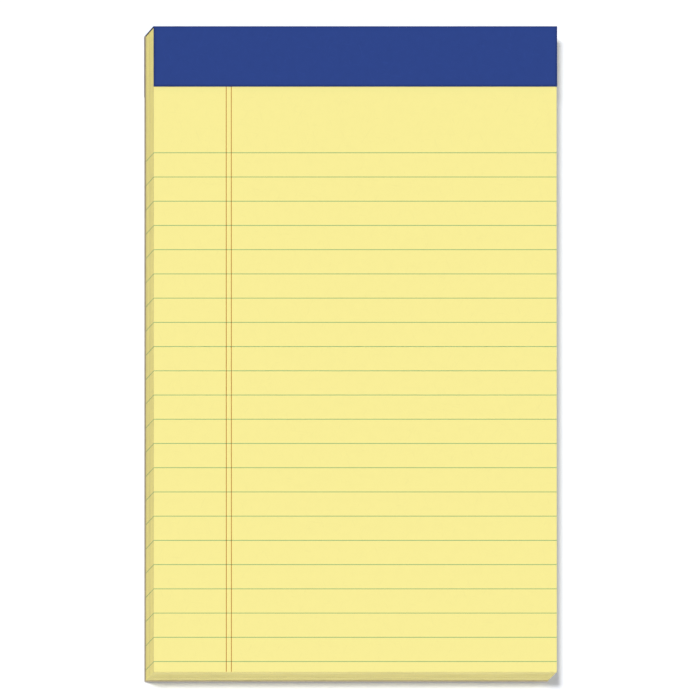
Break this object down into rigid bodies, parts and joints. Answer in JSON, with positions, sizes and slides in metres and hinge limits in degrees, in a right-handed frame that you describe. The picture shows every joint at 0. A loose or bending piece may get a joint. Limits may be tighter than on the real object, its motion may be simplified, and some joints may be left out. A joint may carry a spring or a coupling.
{
  "type": "legal pad",
  "caption": "Small yellow ruled writing pad with a chipboard back and a blue strip folded over its stapled head.",
  "frame": {"origin": "under the middle of the pad, on the surface it lies on", "axes": "+X to the reader's right, +Y towards the bound head, +Z out of the writing face"},
  "size_m": [0.127, 0.2034, 0.0064],
  "materials": {
    "sheet_paper": "uncoated yellow writing paper, ruled",
    "chipboard": "raw grey-brown chipboard",
    "binding_paper": "matt blue binding paper",
    "staple_wire": "drawn steel wire"
  },
  "bodies": {
    "root": {"sheet_stack": "sheet_paper", "backing_board": "chipboard", "binding_strip": "binding_paper", "staple_left": "staple_wire", "staple_right": "staple_wire"}
  },
  "joints": []
}
